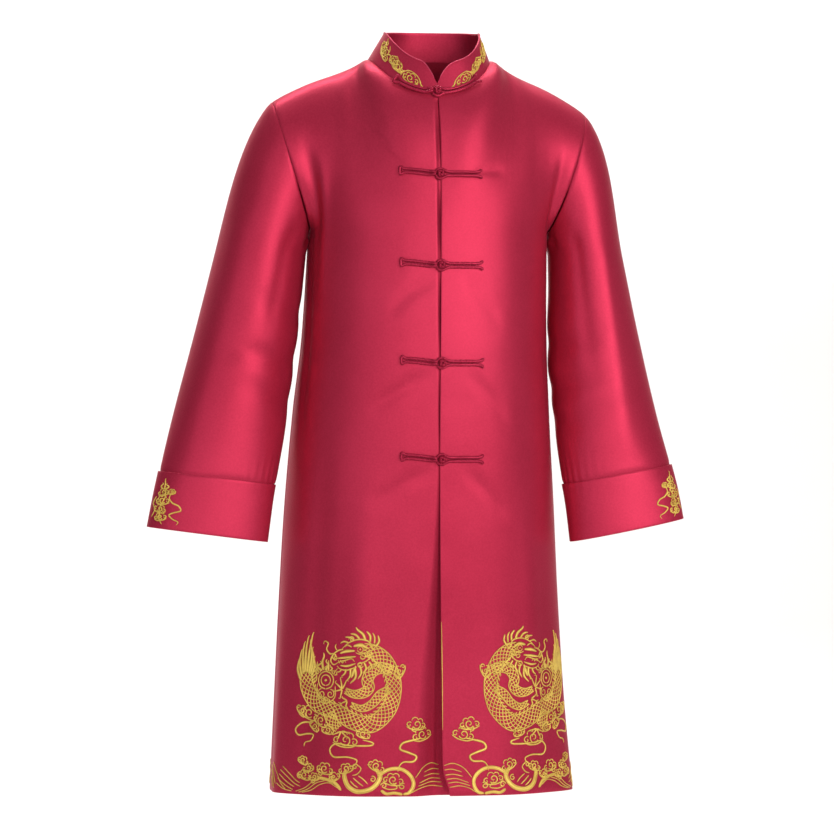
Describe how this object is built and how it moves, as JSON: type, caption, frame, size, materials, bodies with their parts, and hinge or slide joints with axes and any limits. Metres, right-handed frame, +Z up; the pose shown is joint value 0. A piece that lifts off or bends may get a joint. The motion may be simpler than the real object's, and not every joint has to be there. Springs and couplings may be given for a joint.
{
  "type": "long tang suit jacket, worn form with no wearer",
  "caption": "Knee-length satin jacket with stand collar, turned cuffs, frog fastenings and gold embroidery, hollow as worn.",
  "frame": {"origin": "middle of the neck's base, level with the places on the wearer's shoulders that carry the jacket", "axes": "+Z up along the body, the front faces -Y, +X to the wearer's left"},
  "size_m": [0.7526, 0.2888, 1.061],
  "materials": {
    "red_satin": "glossy satin, crimson with a pink sheen",
    "cord_satin": "satin rouleau cord, a shade darker than the jacket",
    "gold_thread": "gold embroidery thread in satin stitch"
  },
  "bodies": {
    "root": {"front_right": "red_satin", "front_left": "red_satin", "back": "red_satin", "sleeve_right": "red_satin", "sleeve_left": "red_satin", "cuff_right": "red_satin", "cuff_left": "red_satin", "collar": "red_satin", "frog_1_knot_strap": "cord_satin", "frog_1_loop_strap": "cord_satin", "frog_1_knot": "cord_satin", "frog_2_knot_strap": "cord_satin", "frog_2_loop_strap": "cord_satin", "frog_2_knot": "cord_satin", "frog_3_knot_strap": "cord_satin", "frog_3_loop_strap": "cord_satin", "frog_3_knot": "cord_satin", "frog_4_knot_strap": "cord_satin", "frog_4_loop_strap": "cord_satin", "frog_4_knot": "cord_satin", "frog_5_knot_strap": "cord_satin", "frog_5_loop_strap": "cord_satin", "frog_5_knot": "cord_satin"}
  },
  "joints": []
}
